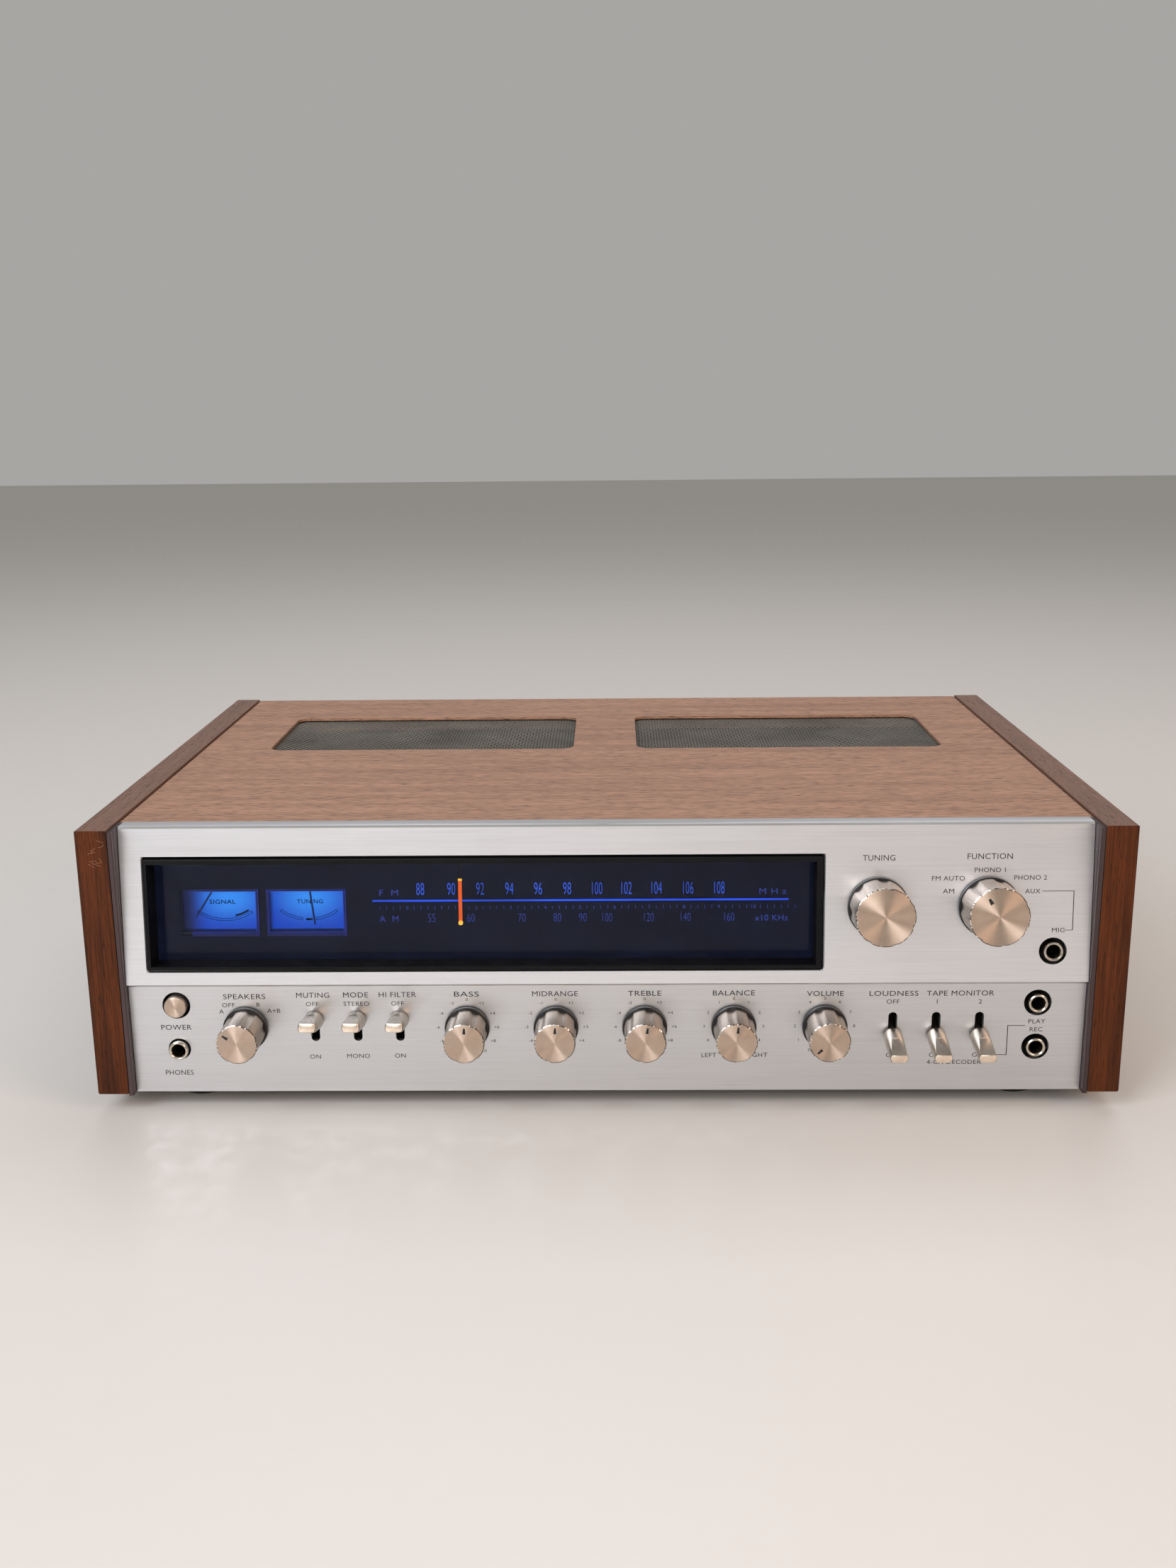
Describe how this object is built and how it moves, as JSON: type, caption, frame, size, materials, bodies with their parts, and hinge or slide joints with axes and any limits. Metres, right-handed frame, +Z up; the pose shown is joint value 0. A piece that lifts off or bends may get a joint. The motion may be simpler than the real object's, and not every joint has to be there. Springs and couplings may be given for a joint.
{
  "type": "stereo receiver",
  "caption": "Stereo receiver with walnut cheeks and top, a brushed aluminium fascia in two steps, a recessed lit dial window, fluted knobs, bat levers and jacks.",
  "frame": {"origin": "on the surface the feet stand on, under the middle of the whole box", "axes": "+X to the right along the fascia, +Y from the fascia to the rear panel, +Z up"},
  "size_m": [0.5, 0.345, 0.1445],
  "materials": {
    "walnut": "satin walnut veneer",
    "vent_mesh": "grey expanded metal",
    "dark_anodised": "dark brown anodised",
    "fascia_aluminium": "long-grain brushed, clear anodised",
    "bezel_black": "satin black",
    "window_glass": "smoked acrylic",
    "dial_black": "black, back lit in blue",
    "needle_white": "pale painted",
    "pointer_orange": "edge-lit orange",
    "lamp_housing": "white",
    "zinc_steel": "zinc plated",
    "cord_waxed": "waxed cord",
    "drum_plastic": "ivory nylon",
    "capacitor_aluminium": "bare",
    "knob_aluminium": "spun, clear lacquered",
    "knob_black": "black moulded",
    "flywheel_steel": "turned",
    "control_plate": "pressed and plated",
    "lever_chrome": "satin nickel chrome",
    "jack_black": "black moulded",
    "rear_paint": "black paint",
    "socket_nickel": "nickel plated",
    "terminal_bakelite": "black moulded",
    "ferrite_dark": "dark grey sleeve",
    "transformer_paint": "black varnish",
    "capacitor_sleeve": "blue sleeve",
    "heat_sink_black": "black anodised",
    "board_green": "phenolic board",
    "foot_rubber": "moulded"
  },
  "bodies": {
    "case": {"left_cheek": "walnut", "right_cheek": "walnut", "top_cover": "walnut", "vent_meshes": "vent_mesh", "side_trims": "dark_anodised", "upper_fascia": "fascia_aluminium", "lower_fascia": "fascia_aluminium", "window_bezel": "bezel_black", "dial_glass": "window_glass", "dial_plate": "dial_black", "meter_cases": "dial_black", "dial_lamps": "lamp_housing", "dial_frame": "zinc_steel", "front_subpanel": "zinc_steel", "chassis": "zinc_steel", "dial_cord": "cord_waxed", "variable_capacitor": "capacitor_aluminium", "rotary_controls": "control_plate", "panel_switches": "control_plate", "jack_noses": "lever_chrome", "jack_bodies": "jack_black", "rear_panel": "rear_paint", "phono_sockets": "socket_nickel", "screw_terminals": "terminal_bakelite", "cord_gland": "terminal_bakelite", "power_transformer": "transformer_paint", "filter_capacitors": "capacitor_sleeve", "heat_sink": "heat_sink_black", "circuit_boards": "board_green", "feet": "foot_rubber"},
    "speakers_control": {"speakers_knob": "knob_aluminium", "speakers_spindle": "knob_black"},
    "bass_control": {"bass_knob": "knob_aluminium", "bass_spindle": "knob_black"},
    "midrange_control": {"midrange_knob": "knob_aluminium", "midrange_spindle": "knob_black"},
    "treble_control": {"treble_knob": "knob_aluminium", "treble_spindle": "knob_black"},
    "balance_control": {"balance_knob": "knob_aluminium", "balance_spindle": "knob_black"},
    "volume_control": {"volume_knob": "knob_aluminium", "volume_spindle": "knob_black"},
    "tuning_control": {"tuning_knob": "knob_aluminium", "tuning_spindle": "knob_black", "flywheel": "flywheel_steel"},
    "function_control": {"function_knob": "knob_aluminium", "function_spindle": "knob_black"},
    "muting_bat": {"muting_lever": "lever_chrome"},
    "mode_bat": {"mode_lever": "lever_chrome"},
    "hi_filter_bat": {"hi_filter_lever": "lever_chrome"},
    "loudness_bat": {"loudness_lever": "lever_chrome"},
    "tape_1_bat": {"tape_1_lever": "lever_chrome"},
    "tape_2_bat": {"tape_2_lever": "lever_chrome"},
    "power_push": {"power_button": "knob_aluminium"},
    "pointer_carriage": {"pointer": "pointer_orange"},
    "drum": {"dial_drum": "drum_plastic"},
    "rotor": {"capacitor_rotor": "capacitor_aluminium"},
    "signal_pointer": {"signal_needle": "needle_white"},
    "tuning_pointer": {"tuning_needle": "needle_white"},
    "antenna_arm": {"antenna_rod": "ferrite_dark"}
  },
  "joints": [
    {"name": "speakers_turn", "type": "hinge", "parent": "case", "child": "speakers_control", "pos_m": [-0.1757, -0.15009, 0.0427], "axis": [0, 1, 0], "range_deg": [0, 108]},
    {"name": "bass_turn", "type": "hinge", "parent": "case", "child": "bass_control", "pos_m": [-0.0673, -0.15009, 0.0427], "axis": [0, 1, 0], "range_deg": [-150, 150]},
    {"name": "midrange_turn", "type": "hinge", "parent": "case", "child": "midrange_control", "pos_m": [-0.024, -0.15009, 0.0427], "axis": [0, 1, 0], "range_deg": [-150, 150]},
    {"name": "treble_turn", "type": "hinge", "parent": "case", "child": "treble_control", "pos_m": [0.0192, -0.15009, 0.0427], "axis": [0, 1, 0], "range_deg": [-150, 150]},
    {"name": "balance_turn", "type": "hinge", "parent": "case", "child": "balance_control", "pos_m": [0.0625, -0.15009, 0.0427], "axis": [0, 1, 0], "range_deg": [-150, 150]},
    {"name": "volume_turn", "type": "hinge", "parent": "case", "child": "volume_control", "pos_m": [0.1066, -0.15009, 0.0427], "axis": [0, 1, 0], "range_deg": [-9, 291]},
    {"name": "tuning_turn", "type": "hinge", "parent": "case", "child": "tuning_control", "pos_m": [0.1305, -0.14934, 0.10324], "axis": [0, 0.9957, -0.0923], "range_deg": [-368, 2062]},
    {"name": "function_turn", "type": "hinge", "parent": "case", "child": "function_control", "pos_m": [0.1831, -0.14934, 0.10324], "axis": [0, 0.9957, -0.0923], "range_deg": [-30, 90]},
    {"name": "pointer_slide", "type": "slide", "parent": "case", "child": "pointer_carriage", "axis": [1, 0, 0], "range_m": [-0.0257, 0.144]},
    {"name": "drum_turn", "type": "hinge", "parent": "case", "child": "drum", "pos_m": [-0.02, -0.14947, 0.10185], "axis": [0, 0.9957, -0.0923], "range_deg": [-73.8, 412.6]},
    {"name": "rotor_turn", "type": "hinge", "parent": "case", "child": "rotor", "pos_m": [-0.02, -0.14947, 0.10185], "axis": [0, 0.9957, -0.0923], "range_deg": [-27.4, 152.9]},
    {"name": "muting_flip", "type": "hinge", "parent": "case", "child": "muting_bat", "pos_m": [-0.1418, -0.13209, 0.0427], "axis": [1, 0, 0], "range_deg": [0, 25]},
    {"name": "mode_flip", "type": "hinge", "parent": "case", "child": "mode_bat", "pos_m": [-0.121, -0.13209, 0.0427], "axis": [1, 0, 0], "range_deg": [0, 25]},
    {"name": "hi_filter_flip", "type": "hinge", "parent": "case", "child": "hi_filter_bat", "pos_m": [-0.1003, -0.13209, 0.0427], "axis": [1, 0, 0], "range_deg": [0, 25]},
    {"name": "loudness_flip", "type": "hinge", "parent": "case", "child": "loudness_bat", "pos_m": [0.1396, -0.13209, 0.0427], "axis": [1, 0, 0], "range_deg": [-25, 0]},
    {"name": "tape_1_flip", "type": "hinge", "parent": "case", "child": "tape_1_bat", "pos_m": [0.1606, -0.13209, 0.0427], "axis": [1, 0, 0], "range_deg": [-25, 0]},
    {"name": "tape_2_flip", "type": "hinge", "parent": "case", "child": "tape_2_bat", "pos_m": [0.1815, -0.13209, 0.0427], "axis": [1, 0, 0], "range_deg": [-25, 0]},
    {"name": "power_press", "type": "slide", "parent": "case", "child": "power_push", "axis": [0, 1, 0], "range_m": [-0.004, 0.0015]},
    {"name": "signal_swing", "type": "hinge", "parent": "case", "child": "signal_pointer", "pos_m": [-0.1883, -0.12623, 0.11416], "axis": [0, -0.9957, 0.0923], "range_deg": [0, 66], "stiffness_Nm_per_rad": 0.0005},
    {"name": "tuning_swing", "type": "hinge", "parent": "case", "child": "tuning_pointer", "pos_m": [-0.1466, -0.12623, 0.11416], "axis": [0, -0.9957, 0.0923], "range_deg": [-37, 23], "stiffness_Nm_per_rad": 0.0005},
    {"name": "antenna_swing", "type": "hinge", "parent": "case", "child": "antenna_arm", "pos_m": [-0.07, 0.16241, 0.114], "axis": [0, 0, 1], "range_deg": [0, 100]}
  ],
  "couplings": [
    {"joint": "pointer_slide", "follows": "tuning_turn", "m_per_rad": 0.004},
    {"joint": "drum_turn", "follows": "tuning_turn", "ratio": 0.2},
    {"joint": "rotor_turn", "follows": "tuning_turn", "ratio": 0.074051}
  ]
}
